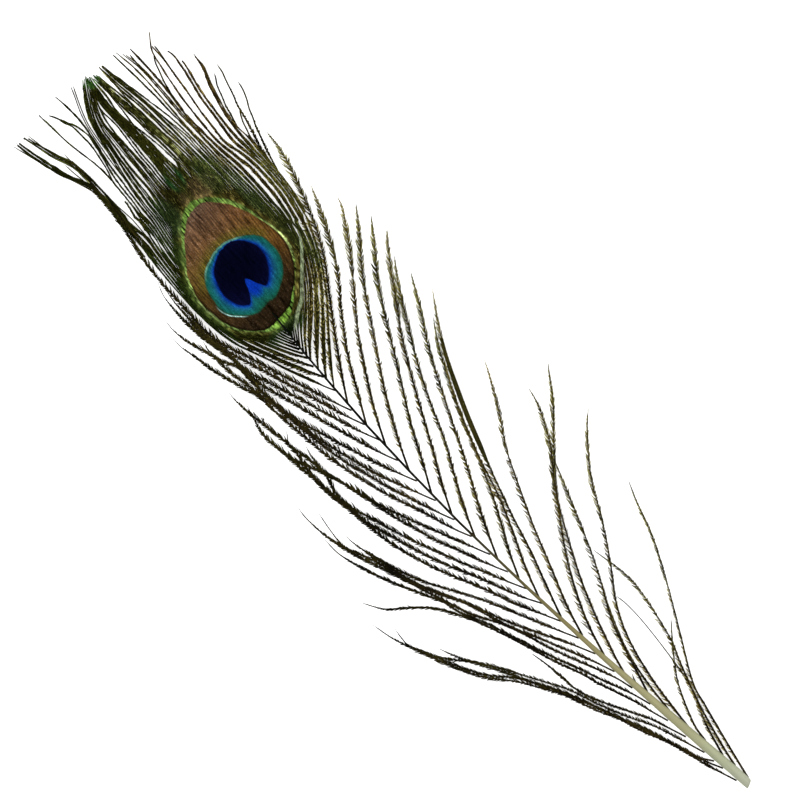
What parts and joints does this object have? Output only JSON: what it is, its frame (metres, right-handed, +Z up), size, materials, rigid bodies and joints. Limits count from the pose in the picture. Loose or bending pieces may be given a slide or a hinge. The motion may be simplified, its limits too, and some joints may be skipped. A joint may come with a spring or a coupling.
{
  "type": "peacock feather",
  "caption": "Eye feather of a peacock's train, lying face up: a tapering quill with loose side barbs that close into a round-eyed vane, for display, craft and costume.",
  "frame": {"origin": "on the surface that the feather lies on, under the middle of its box", "axes": "+Y along the feather from the quill to the crown, +X to its right seen face up, +Z up from the surface, out of the eye's face"},
  "size_m": [0.0954, 0.3026, 0.0071],
  "materials": {
    "barbs": "satin",
    "quill": "satin",
    "eye": "satin",
    "crown": "satin"
  },
  "bodies": {
    "root": {"feather": "barbs"}
  },
  "joints": []
}
